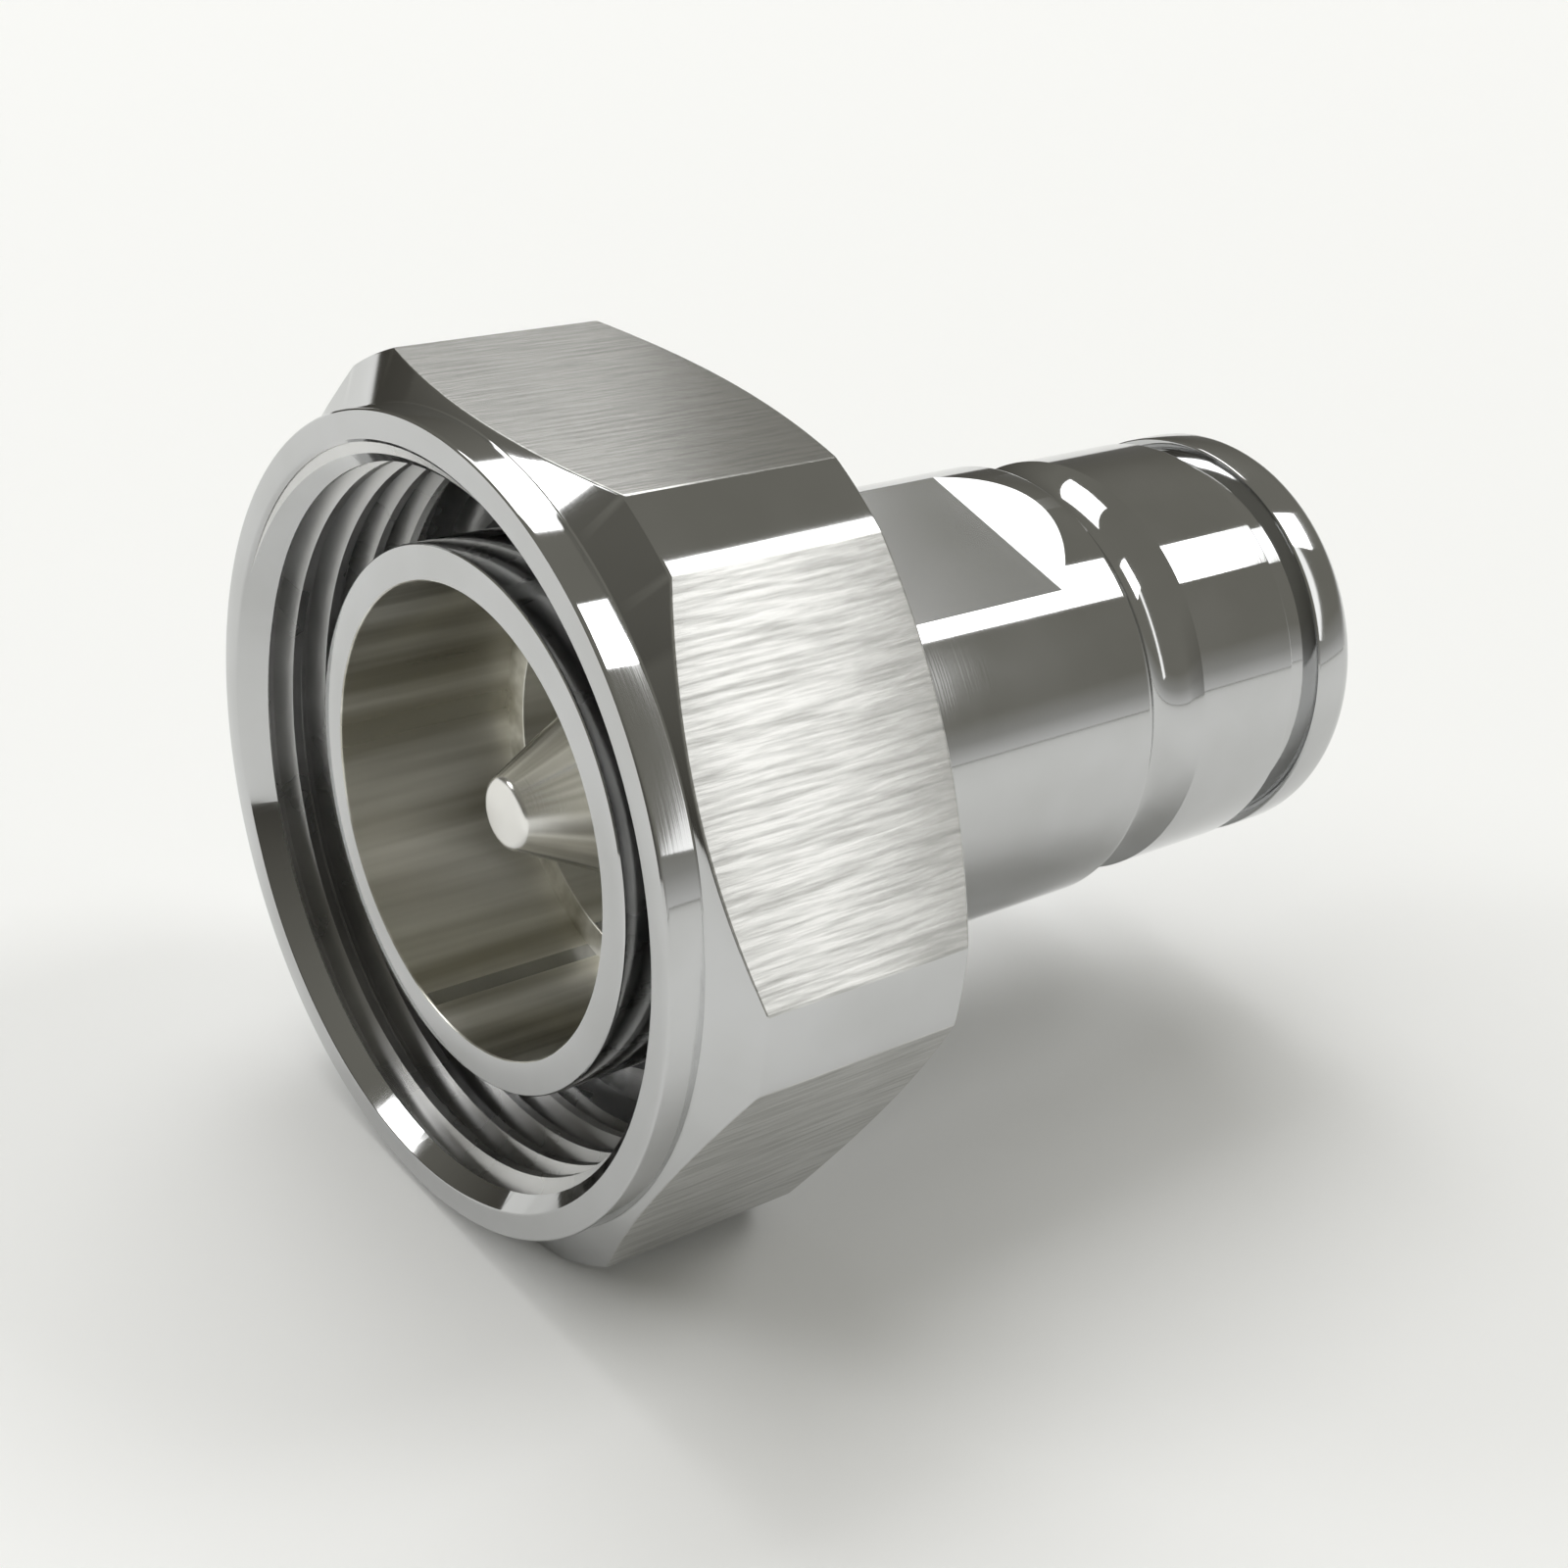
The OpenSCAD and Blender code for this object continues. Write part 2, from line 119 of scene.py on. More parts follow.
def draw_outline(name, outline):
    """Draws a closed outline corner by corner as a new object, and stays in edit mode."""
    bpy.ops.object.select_all(action="DESELECT")
    bpy.ops.mesh.primitive_plane_add(size=MM)
    drawn = bpy.context.object
    drawn.name = drawn.data.name = name
    bpy.ops.object.mode_set(mode="EDIT")
    bpy.ops.mesh.merge(type="CENTER")
    here = corner_place(outline[0])
    bpy.ops.transform.translate(value=here)
    for corner in outline[1:] + outline[:1]:
        there = corner_place(corner)
        bpy.ops.mesh.extrude_region_move(TRANSFORM_OT_translate={"value": there - here})
        here = there
    bpy.ops.mesh.select_all(action="SELECT")
    bpy.ops.mesh.remove_doubles(threshold=MERGE)
    return drawn


def turn_on_lathe(name, outline, steps):
    """Spins a closed outline of (x, radius, corner break) in mm round the X axis."""
    piece = draw_outline(name, outline)
    breaks = [corner for corner in outline if len(corner) > 2]
    for size in sorted({corner[2] for corner in breaks}):
        bpy.ops.mesh.select_all(action="DESELECT")
        bpy.ops.object.mode_set(mode="OBJECT")
        broken = [corner_place(corner) for corner in breaks if corner[2] == size]
        for point in piece.data.vertices:
            point.select = any((point.co - place).length < MERGE for place in broken)
        bpy.ops.object.mode_set(mode="EDIT")
        bpy.ops.mesh.bevel(offset=size * MM, segments=3, affect="VERTICES")
    bpy.ops.mesh.select_all(action="SELECT")
    bpy.ops.mesh.spin(steps=steps, angle=2 * math.pi, center=(0, 0, 0), axis=(1, 0, 0))
    bpy.ops.mesh.select_all(action="SELECT")
    bpy.ops.mesh.remove_doubles(threshold=SEAM_MERGE)
    bpy.ops.mesh.normals_make_consistent(inside=False)
    bpy.ops.object.mode_set(mode="OBJECT")
    return piece


def cut_away(piece, cutter):
    """Takes the cutter's shape out of the piece and removes the cutter."""
    bpy.ops.object.select_all(action="DESELECT")
    bpy.context.view_layer.objects.active = piece
    cut = piece.modifiers.new("cut", "BOOLEAN")
    cut.operation = "DIFFERENCE"
    cut.solver = "EXACT"
    cut.object = cutter
    bpy.ops.object.modifier_apply(modifier=cut.name)
    bpy.data.objects.remove(cutter)


def smooth_shade(piece, angle=28):
    """Smooth shading that keeps the cut edges and leaves flat faces flat."""
    bpy.ops.object.select_all(action="DESELECT")
    piece.select_set(True)
    bpy.context.view_layer.objects.active = piece
    bpy.ops.object.shade_smooth_by_angle(angle=math.radians(angle))
    weigh = piece.modifiers.new("weigh", "WEIGHTED_NORMAL")
    weigh.keep_sharp = True
    bpy.ops.object.modifier_apply(modifier=weigh.name)


def nodes_for(name):
    """A new material's nodes and links, its shader and its object coordinates."""
    material = bpy.data.materials.new(name)
    material.use_nodes = True
    nodes = material.node_tree.nodes
    links = material.node_tree.links
    place = nodes.new("ShaderNodeTexCoord").outputs["Object"]
    return material, nodes, links, nodes["Principled BSDF"], place


def tone_ramp(nodes, links, source, stops):
    """The colour output of a ramp through stops of (position, colour), lowest first."""
    ramp = nodes.new("ShaderNodeValToRGB")
    points = ramp.color_ramp.elements
    for _ in stops[2:]:
        points.new(1)
    for point, (position, colour) in zip(points, stops):
        point.position = position
        point.color = (*colour, 1)
    links.new(source, ramp.inputs["Fac"])
    return ramp.outputs["Color"]


def raise_surface(nodes, links, shader, relief, depth, strength=1):
    """Bumps a material's surface by a pattern, to a depth in mm."""
    bump = nodes.new("ShaderNodeBump")
    bump.inputs["Strength"].default_value = strength
    bump.inputs["Distance"].default_value = depth * MM
    links.new(relief, bump.inputs["Height"])
    links.new(bump.outputs["Normal"], shader.inputs["Normal"])


def metal_gloss(nodes, links, shader, marks, rough_low, rough_high, spread):
    """Metal whose roughness follows its marks, with highlights spread on the X axis's grain."""
    gloss = nodes.new("ShaderNodeMapRange")
    gloss.inputs["From Min"].default_value = 0.3
    gloss.inputs["From Max"].default_value = 0.7
    gloss.inputs["To Min"].default_value = rough_low
    gloss.inputs["To Max"].default_value = rough_high
    links.new(marks, gloss.inputs["Value"])
    links.new(gloss.outputs["Result"], shader.inputs["Roughness"])
    grain = nodes.new("ShaderNodeTangent")
    grain.direction_type = "RADIAL"
    grain.axis = "X"
    links.new(grain.outputs["Tangent"], shader.inputs["Tangent"])
    shader.inputs["Anisotropic"].default_value = spread
    shader.inputs["Metallic"].default_value = 1


def turned_metal(
        name, colour, worn_and_shade, rough, spread, ring_pitch, ring_depth, marks_per_metre=(220, 220, 220)):
    """Lathe-cut metal: fine tool rings round the X axis stretch the highlights across them."""
    material, nodes, links, shader, place = nodes_for(name)
    parts = nodes.new("ShaderNodeSeparateXYZ")
    links.new(place, parts.inputs[0])
    across = nodes.new("ShaderNodeCombineXYZ")
    links.new(parts.outputs["Y"], across.inputs["Y"])
    links.new(parts.outputs["Z"], across.inputs["Z"])
    radius = nodes.new("ShaderNodeVectorMath")
    radius.operation = "LENGTH"
    links.new(across.outputs[0], radius.inputs[0])
    along = nodes.new("ShaderNodeMath")
    along.operation = "ADD"
    links.new(parts.outputs["X"], along.inputs[0])
    links.new(radius.outputs["Value"], along.inputs[1])
    rings = nodes.new("ShaderNodeTexNoise")
    rings.noise_dimensions = "1D"
    rings.inputs["Scale"].default_value = 1 / (ring_pitch * MM)
    rings.inputs["Detail"].default_value = 2
    links.new(along.outputs[0], rings.inputs["W"])
    raise_surface(nodes, links, shader, rings.outputs["Fac"], ring_depth)
    stretch = nodes.new("ShaderNodeMapping")
    stretch.inputs["Scale"].default_value = marks_per_metre
    links.new(place, stretch.inputs["Vector"])
    marks = nodes.new("ShaderNodeTexNoise")
    marks.inputs["Scale"].default_value = 1
    marks.inputs["Detail"].default_value = 3
    marks.inputs["Roughness"].default_value = 0.5
    links.new(stretch.outputs["Vector"], marks.inputs["Vector"])
    # The tone follows the marks. In the bore they are stretched along the axis into painted light
    # and dark reflection streaks.
    tone = tone_ramp(nodes, links, marks.outputs["Fac"], [(0.35, worn_and_shade), (0.65, colour)])
    links.new(tone, shader.inputs["Base Color"])
    metal_gloss(nodes, links, shader, marks.outputs["Fac"], rough * 0.85, rough * 1.2, spread)
    shader.inputs["Anisotropic Rotation"].default_value = 0.25
    return material


def bright_plate(name):
    """The plug's bright plating, over smoothly turned brass."""
    return turned_metal(
        name, colour=(0.565, 0.57, 0.575), worn_and_shade=(0.53, 0.535, 0.535), rough=0.06, spread=0.85,
        ring_pitch=0.11, ring_depth=0.0005)


body_plate = bright_plate("body_plate")
# The bore's metal: light and dark streaks along the axis are painted reflections in its colour,
# lighter than the outside plating.
bore_painted_streaks = turned_metal(
    "bore_painted_streaks", colour=(0.96, 0.95, 0.89), worn_and_shade=(0.50, 0.485, 0.42), rough=0.32, spread=0.9,
    ring_pitch=0.16, ring_depth=0.001, marks_per_metre=(25, 600, 600))
flat_plate = turned_metal(
    "flat_plate", colour=(0.58, 0.585, 0.59), worn_and_shade=(0.54, 0.545, 0.545), rough=0.205, spread=0.0,
    ring_pitch=0.3, ring_depth=0.0, marks_per_metre=(60, 60, 60))
# A lighter copy of the bright plating for the flange's front face, deep inside the nut: painted
# light.
flange_painted_light = turned_metal(
    "flange_painted_light", colour=(0.70, 0.70, 0.71), worn_and_shade=(0.62, 0.62, 0.62), rough=0.18, spread=0.5,
    ring_pitch=0.16, ring_depth=0.002)

plug_body = turn_on_lathe("plug_body", body_outline, FINE_STEPS)
mill_middle = Vector((
    (FLAT_REAR + FLAT_FRONT) / 2 * MM, 0, (FLAT_FLOOR + MILL_HEIGHT / 2) * MM))
for side in (0, math.pi):
    bpy.ops.object.select_all(action="DESELECT")
    bpy.ops.mesh.primitive_cube_add(size=MM)
    mill = bpy.context.object
    bpy.ops.object.mode_set(mode="EDIT")
    bpy.ops.transform.resize(
        value=(FLAT_REAR - FLAT_FRONT, MILL_WIDTH, MILL_HEIGHT), center_override=(0, 0, 0))
    bpy.ops.transform.translate(value=mill_middle)
    bpy.ops.mesh.select_all(action="DESELECT")
    bpy.ops.object.mode_set(mode="OBJECT")
    for point in mill.data.vertices:
        point.select = point.co.x > mill_middle.x and point.co.z > mill_middle.z
    bpy.ops.object.mode_set(mode="EDIT")
    bpy.ops.transform.translate(value=(MILL_HEIGHT * FLAT_RUN * MM, 0, 0))
    bpy.ops.mesh.select_all(action="SELECT")
    bpy.ops.transform.rotate(
        value=-(FLAT_TURN + side), orient_axis="X", center_override=(0, 0, 0))
    bpy.ops.object.mode_set(mode="OBJECT")
    cut_away(plug_body, mill)
smooth_shade(plug_body, BODY_SMOOTHING)
plug_body.data.materials.append(body_plate)
plug_body.data.materials.append(bore_painted_streaks)
plug_body.data.materials.append(flat_plate)
plug_body.data.materials.append(flange_painted_light)
flat_facing = Vector((0, -math.sin(FLAT_TURN), math.cos(FLAT_TURN)))
for face in plug_body.data.polygons:
    middle = Vector((face.center.y, face.center.z))
    # Faces inside the bore take the material with painted reflection streaks.
    in_bore = middle.length < BORE_STREAKS_LIMIT * MM and face.center.x < BEAD_FRONT * MM
    if in_bore and middle.dot(face.normal.yz) < 0.1 * middle.length:
        face.material_index = 1
    behind_flat = face.center.x > FLAT_REAR * MM and middle.length > FLAT_FINISH * MM
    run_out = behind_flat and face.normal.x < -0.3
    if run_out or abs(face.normal.dot(flat_facing)) > FLAT_FACING:
        face.material_index = 2
    # The flange's front face gets the lighter copy of the plating, painted light.
    if face.normal.x < -0.9 and abs(face.center.x - FLANGE_FRONT * MM) < 0.01 * MM:
        face.material_index = 3
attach(plug_body, "connector_body")
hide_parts("connector_body")


# Bead and bush
# The bead is a ring of white fluoroplastic that carries the pin on the body's
# axis. It is turned from rod and held against the bore's lip by a brass bush
# pressed in behind it.

RING_STEPS = 128
SEAT_GAP = 0.03
SEATED = POCKET - SEAT_GAP
BEAD_BORE = 2.23
BEAD_REAR = 16.0
BUSH_BORE = 5.78
BUSH_REAR = 17.0

bead_outline = [
    (BEAD_FRONT, BEAD_BORE, 0.05), (BEAD_FRONT, SEATED, 0.1),
    (BEAD_REAR, SEATED, 0.1), (BEAD_REAR, BEAD_BORE, 0.05),
]
bush_outline = [
    (BEAD_REAR, BUSH_BORE, 0.08), (BEAD_REAR, SEATED, 0.08),
    (BUSH_REAR, SEATED, 0.08), (BUSH_REAR, BUSH_BORE, 0.08),
]

bead_plastic, nodes, links, shader, place = nodes_for("bead_plastic")
flow = nodes.new("ShaderNodeTexNoise")
flow.inputs["Scale"].default_value = 900
flow.inputs["Detail"].default_value = 4
links.new(place, flow.inputs["Vector"])
milky = tone_ramp(
    nodes, links, flow.outputs["Fac"], [(0.3, (0.80, 0.80, 0.76)), (0.7, (0.88, 0.88, 0.85))])
links.new(milky, shader.inputs["Base Color"])
raise_surface(nodes, links, shader, flow.outputs["Fac"], depth=0.01, strength=0.4)
shader.inputs["Roughness"].default_value = 0.42

bare_brass = turned_metal(
    "bare_brass", colour=(0.74, 0.56, 0.27), worn_and_shade=(0.66, 0.48, 0.22), rough=0.34, spread=0.7,
    ring_pitch=0.14, ring_depth=0.003)

bead = turn_on_lathe("bead", bead_outline, RING_STEPS)
smooth_shade(bead)
bead.data.materials.append(bead_plastic)
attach(bead, "connector_body")
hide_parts("insulator")

bead_bush = turn_on_lathe("bead_bush", bush_outline, RING_STEPS)
smooth_shade(bead_bush)
bead_bush.data.materials.append(bare_brass)
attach(bead_bush, "connector_body")
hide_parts("insulator_bush")


# Centre pin
# The inner contact, turned from brass and silver plated, with a tapered nose.
# A waist behind its shank sits in the bead, and the cup at its rear is drilled
# for the cable's inner conductor, with a small hole for solder.

NOSE = 1.4
NOSE_FRONT = 1.8
SHANK = 3.5
SHANK_FRONT = 6.203
SHANK_REAR = BEAD_FRONT - SEAT_GAP
WAIST = BEAD_BORE - SEAT_GAP
CUP = 2.6
CUP_FRONT = BEAD_REAR + SEAT_GAP
CUP_REAR = 19.5
CUP_BORE = 1.25
CUP_FLOOR = 16.6
SOLDER_HOLE = 0.5
SOLDER_PLACE = 17.1
DRILL_LENGTH = 3
DRILL_MIDDLE = 2.2

pin_outline = [
    (NOSE_FRONT, 0), (NOSE_FRONT, NOSE, 0.22), (SHANK_FRONT, SHANK, 0.3),
    (SHANK_REAR, SHANK, 0.1), (SHANK_REAR, WAIST), (CUP_FRONT, WAIST),
    (CUP_FRONT, CUP, 0.08), (CUP_REAR, CUP, 0.15), (CUP_REAR, CUP_BORE, 0.12),
    (CUP_FLOOR, CUP_BORE), (CUP_FLOOR, 0),
]

pin_plate = turned_metal(
    "pin_plate", colour=(0.86, 0.855, 0.83), worn_and_shade=(0.79, 0.78, 0.75), rough=0.22, spread=0.7,
    ring_pitch=0.12, ring_depth=0.0015)

pin = turn_on_lathe("pin", pin_outline, RING_STEPS)
bpy.ops.object.select_all(action="DESELECT")
bpy.ops.mesh.primitive_cylinder_add(
    vertices=32, radius=SOLDER_HOLE * MM, depth=DRILL_LENGTH * MM,
    location=(SOLDER_PLACE * MM, 0, DRILL_MIDDLE * MM))
cut_away(pin, bpy.context.object)
smooth_shade(pin)
pin.data.materials.append(pin_plate)
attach(pin, "connector_body")
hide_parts("centre_contact")


# Front gasket and web seal
# A flat ring stamped from grey silicone sheet lies on the flange and seals the
# front when the plug is mated. A moulded black rubber ring in the journal's
# groove seals the nut's web behind it.

GASKET_STEPS = 192
GASKET = 11.298
GASKET_BORE = GASKET_SEAT + SEAT_GAP
GASKET_FRONT = GASKET_SEAT_FRONT + SEAT_GAP
WEB_SEAL_SECTION = 0.45
WEB_SEAL_RADIUS = SEAL_GROOVE + SEAT_GAP + WEB_SEAL_SECTION
WEB_SEAL_PLACE = (SEAL_GROOVE_FRONT + SEAL_GROOVE_REAR) / 2
SECTION_CORNERS = 24

gasket_outline = [
    (GASKET_FRONT, GASKET_BORE, 0.08), (GASKET_FRONT, GASKET, 0.08),
    (FLANGE_FRONT, GASKET, 0.08), (FLANGE_FRONT, GASKET_BORE, 0.08),
]


def soft_rubber(name, colour, dust, rough, grain):
    """Moulded rubber: a fine dusty grain in tone and surface."""
    material, nodes, links, shader, place = nodes_for(name)
    speck = nodes.new("ShaderNodeTexNoise")
    speck.inputs["Scale"].default_value = 1 / (grain * MM)
    speck.inputs["Detail"].default_value = 4
    links.new(place, speck.inputs["Vector"])
    tone = tone_ramp(nodes, links, speck.outputs["Fac"], [(0.35, colour), (0.75, dust)])
    links.new(tone, shader.inputs["Base Color"])
    raise_surface(nodes, links, shader, speck.outputs["Fac"], depth=grain * 0.06, strength=0.5)
    shader.inputs["Roughness"].default_value = rough
    return material


def ring_outline(place, radius, section):
    """The round section of a moulded ring as an outline of even corners."""
    turns = [2 * math.pi * k / SECTION_CORNERS for k in range(SECTION_CORNERS)]
    return [(place + section * math.cos(a), radius + section * math.sin(a)) for a in turns]


gasket_rubber = soft_rubber(
    "gasket_rubber", colour=(0.10, 0.10, 0.105), dust=(0.14, 0.14, 0.14), rough=0.6, grain=0.12)
seal_rubber = soft_rubber(
    "seal_rubber", colour=(0.018, 0.018, 0.018), dust=(0.04, 0.04, 0.04), rough=0.5, grain=0.15)

front_gasket = turn_on_lathe("face_gasket", gasket_outline, GASKET_STEPS)
smooth_shade(front_gasket)
front_gasket.data.materials.append(gasket_rubber)
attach(front_gasket, "connector_body")
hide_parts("front_gasket")

web_seal = turn_on_lathe(
    "web_seal", ring_outline(WEB_SEAL_PLACE, WEB_SEAL_RADIUS, WEB_SEAL_SECTION), RING_STEPS)
smooth_shade(web_seal)
web_seal.data.materials.append(seal_rubber)
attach(web_seal, "connector_body")
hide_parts("nut_seal")


# Coupling nut
# A hexagon nut of brass bar, turned to a round collar in front and chamfered at
# both ends, with six flats milled along the axis and an M29 thread cut inside.
# Its web runs on the body's journal, so it turns freely. Bright plated.

NUT_FLAT = 16.0
CORNER = 17.595
NUT_FRONT = -1.75
NUT_REAR = 11.55
MOUTH = 14.65
COLLAR = 15.7
COLLAR_END = -0.273
FRONT_CONE_END = 0.821
REAR_CONE_FRONT = 9.709
REAR_RIM = 14.407
SKIRT_BORE = 12.65
WEB_BORE = 11.08
WEB_FRONT = 8.2
WEB_REAR = 10.4
RELIEF = 14.6
RELIEF_FRONT = 6.4
PITCH = 1.5
THREAD_ROOT = 14.5
THREAD_BORE = 13.688
THREAD_END = RELIEF_FRONT - RELIEF + THREAD_BORE
MOUTH_END = NUT_FRONT + MOUTH - THREAD_BORE

# Limits that tell which edges and faces belong to the hexagon or the thread
FLAT_CUT_MERGE = 0.0001 * MM
FLAT_EDGES = 15.95
FLAT_EDGE_BREAK = 0.07
THREAD_EDGES = 14.62
THREAD_ZONE_END = 8.0
MILLED_FACING = 0.94
MILLED_DEPTH = 0.03

nut_outline = [
    (NUT_FRONT, MOUTH, 0.06), (NUT_FRONT, COLLAR, 0.16), (COLLAR_END, COLLAR, 0.05),
    (FRONT_CONE_END, CORNER), (REAR_CONE_FRONT, CORNER), (NUT_REAR, REAR_RIM, 0.12),
    (NUT_REAR, SKIRT_BORE, 0.1), (WEB_REAR, SKIRT_BORE), (WEB_REAR, WEB_BORE, 0.05),
    (WEB_FRONT, WEB_BORE, 0.05), (WEB_FRONT, RELIEF), (RELIEF_FRONT, RELIEF),
    (THREAD_END, THREAD_BORE), (MOUTH_END, THREAD_BORE),
]
facings = []
for k in range(6):
    turn = math.radians(60 * k)
    facings.append(Vector((0, -math.sin(turn), math.cos(turn))))


def pick_edges(piece, sharpness, belongs):
    """Selects the edges sharper than so many degrees whose ends belong, in edit mode."""
    bpy.ops.object.mode_set(mode="EDIT")
    bpy.ops.mesh.select_all(action="DESELECT")
    bpy.ops.mesh.select_mode(type="EDGE")
    bpy.ops.mesh.edges_select_sharp(sharpness=math.radians(sharpness))
    bpy.ops.object.mode_set(mode="OBJECT")
    for edge in piece.data.edges:
        if not all(belongs(piece.data.vertices[k].co) for k in edge.vertices):
            edge.select = False
    for point in piece.data.vertices:
        point.select = False
    bpy.ops.object.mode_set(mode="EDIT")


def on_flats(point):
    """Whether a point of the nut lies out at its hexagon."""
    return math.hypot(point.y, point.z) >= FLAT_EDGES * MM


def on_thread(point):
    """Whether a point of the nut lies on its thread."""
    return math.hypot(point.y, point.z) <= THREAD_EDGES * MM and point.x <= THREAD_ZONE_END * MM


def thread_cutter(name, section, pitch, turns):
    """Sweeps a groove's section of (x, radius) in mm along a right-hand helix on the X axis."""
    cutter = draw_outline(name, section)
    bpy.ops.object.mode_set(mode="OBJECT")
    helix = cutter.modifiers.new("helix", "SCREW")
    helix.axis = "X"
    helix.angle = 2 * math.pi
    helix.screw_offset = pitch * MM
    helix.iterations = turns
    helix.steps = helix.render_steps = FINE_STEPS
    bpy.ops.object.modifier_apply(modifier=helix.name)
    bpy.ops.object.mode_set(mode="EDIT")
    bpy.ops.mesh.select_all(action="DESELECT")
    bpy.ops.mesh.select_mode(type="EDGE")
    bpy.ops.mesh.select_non_manifold()
    bpy.ops.mesh.fill_holes(sides=4)
    bpy.ops.mesh.select_mode(type="VERT")
    bpy.ops.mesh.select_all(action="SELECT")
    bpy.ops.mesh.normals_make_consistent(inside=False)
    bpy.ops.object.mode_set(mode="OBJECT")
    return cutter


hex_nut = turn_on_lathe("hex_nut", nut_outline, FINE_STEPS)
bpy.ops.object.mode_set(mode="EDIT")
for facing in facings:
    bpy.ops.mesh.select_all(action="SELECT")
    bpy.ops.mesh.bisect(
        plane_co=facing * NUT_FLAT * MM, plane_no=facing, use_fill=True, clear_outer=True,
        threshold=FLAT_CUT_MERGE)
pick_edges(hex_nut, sharpness=15, belongs=on_flats)
bpy.ops.mesh.bevel(offset=FLAT_EDGE_BREAK * MM, segments=2, clamp_overlap=True)
bpy.ops.mesh.select_mode(type="VERT")
bpy.ops.object.mode_set(mode="OBJECT")

TAP_START = -2.9
TAP_TURNS = 7
TAP_OVERLAP = 0.27
TAP_FOOT = THREAD_BORE - TAP_OVERLAP
HALF_ROOT = PITCH / 16
HALF_FOOT = 0.75 * PITCH / 2 + TAP_OVERLAP * math.tan(math.radians(30))
tap = thread_cutter("tap", [
    (TAP_START - HALF_FOOT, TAP_FOOT), (TAP_START - HALF_ROOT, THREAD_ROOT),
    (TAP_START + HALF_ROOT, THREAD_ROOT), (TAP_START + HALF_FOOT, TAP_FOOT),
], PITCH, TAP_TURNS)
cut_away(hex_nut, tap)
pick_edges(hex_nut, sharpness=8, belongs=on_thread)
bpy.ops.mesh.mark_sharp()
bpy.ops.mesh.select_mode(type="VERT")
bpy.ops.object.mode_set(mode="OBJECT")
smooth_shade(hex_nut)


def milled_metal(name, colour, dull, rough, spread, line_pitch, line_length, line_depth):
    """Milled metal: broken lines along the X axis that stretch the highlights across them."""
    material, nodes, links, shader, place = nodes_for(name)
    stretch = nodes.new("ShaderNodeMapping")
    stretch.inputs["Scale"].default_value = (
        1 / (line_length * MM), 1 / (line_pitch * MM), 1 / (line_pitch * MM))
    links.new(place, stretch.inputs["Vector"])
    lines = nodes.new("ShaderNodeTexNoise")
    lines.inputs["Scale"].default_value = 1
    lines.inputs["Detail"].default_value = 3
    lines.inputs["Roughness"].default_value = 0.55
    links.new(stretch.outputs["Vector"], lines.inputs["Vector"])
    raise_surface(nodes, links, shader, lines.outputs["Fac"], line_depth)
    tone = tone_ramp(nodes, links, lines.outputs["Fac"], [(0.3, dull), (0.6, colour)])
    links.new(tone, shader.inputs["Base Color"])
    metal_gloss(nodes, links, shader, lines.outputs["Fac"], rough * 1.1, rough * 0.9, spread)
    return material


nut_plate = bright_plate("nut_plate")
nut_flats = milled_metal(
    "nut_flats", colour=(0.68, 0.68, 0.665), dull=(0.42, 0.42, 0.405), rough=0.22, spread=1.0,
    line_pitch=0.2, line_length=10 / 3, line_depth=0.012)
# The thread's plating, lighter than the nut's outside: painted light inside the nut.
thread_painted_light = turned_metal(
    "thread_painted_light", colour=(0.72, 0.72, 0.715), worn_and_shade=(0.64, 0.64, 0.63), rough=0.28, spread=0.75,
    ring_pitch=0.12, ring_depth=0.002)
hex_nut.data.materials.append(nut_plate)
hex_nut.data.materials.append(nut_flats)
hex_nut.data.materials.append(thread_painted_light)
for face in hex_nut.data.polygons:
    for facing in facings:
        off_flat = abs(face.center.dot(facing) - NUT_FLAT * MM)
        if face.normal.dot(facing) > MILLED_FACING and off_flat < MILLED_DEPTH * MM:
            face.material_index = 1
    # Faces of the thread take the lighter plating, painted light.
    in_thread = math.hypot(face.center.y, face.center.z) < RELIEF * MM
    mouth_chamfer = -0.8 < face.normal.x < -0.6
    if in_thread and face.center.x < THREAD_ZONE_END * MM and not mouth_chamfer:
        face.material_index = 2
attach(hex_nut, "coupling_nut")
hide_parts("coupling_nut")


# Snap ring
# A split ring of spring steel, sprung over the journal into its groove behind
# the nut's web. It keeps the nut on the body and lets it turn.

SNAP_STEPS = 160
SNAP = 12.2
SNAP_BORE = RING_GROOVE + SEAT_GAP
SNAP_FRONT = RING_GROOVE_FRONT + SEAT_GAP
SNAP_REAR = RING_GROOVE_REAR - SEAT_GAP
SNAP_GAP = 3.0
SLIT_LENGTH = 4
SLIT_HEIGHT = 6
SLIT_REACH = 11.2

snap_outline = [
    (SNAP_FRONT, SNAP_BORE, 0.08), (SNAP_FRONT, SNAP, 0.08),
    (SNAP_REAR, SNAP, 0.08), (SNAP_REAR, SNAP_BORE, 0.08),
]

spring_steel = turned_metal(
    "spring_steel", colour=(0.50, 0.50, 0.51), worn_and_shade=(0.42, 0.42, 0.43), rough=0.32, spread=0.6,
    ring_pitch=0.1, ring_depth=0.002)

snap_ring = turn_on_lathe("snap_ring", snap_outline, SNAP_STEPS)
bpy.ops.object.select_all(action="DESELECT")
bpy.ops.mesh.primitive_cube_add(size=MM)
slit = bpy.context.object
bpy.ops.object.mode_set(mode="EDIT")
bpy.ops.transform.resize(value=(SLIT_LENGTH, SNAP_GAP, SLIT_HEIGHT), center_override=(0, 0, 0))
bpy.ops.transform.translate(value=((SNAP_FRONT + SNAP_REAR) / 2 * MM, 0, -SLIT_REACH * MM))
bpy.ops.object.mode_set(mode="OBJECT")
cut_away(snap_ring, slit)
smooth_shade(snap_ring)
snap_ring.data.materials.append(spring_steel)
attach(snap_ring, "connector_body")
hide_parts("retaining_ring")


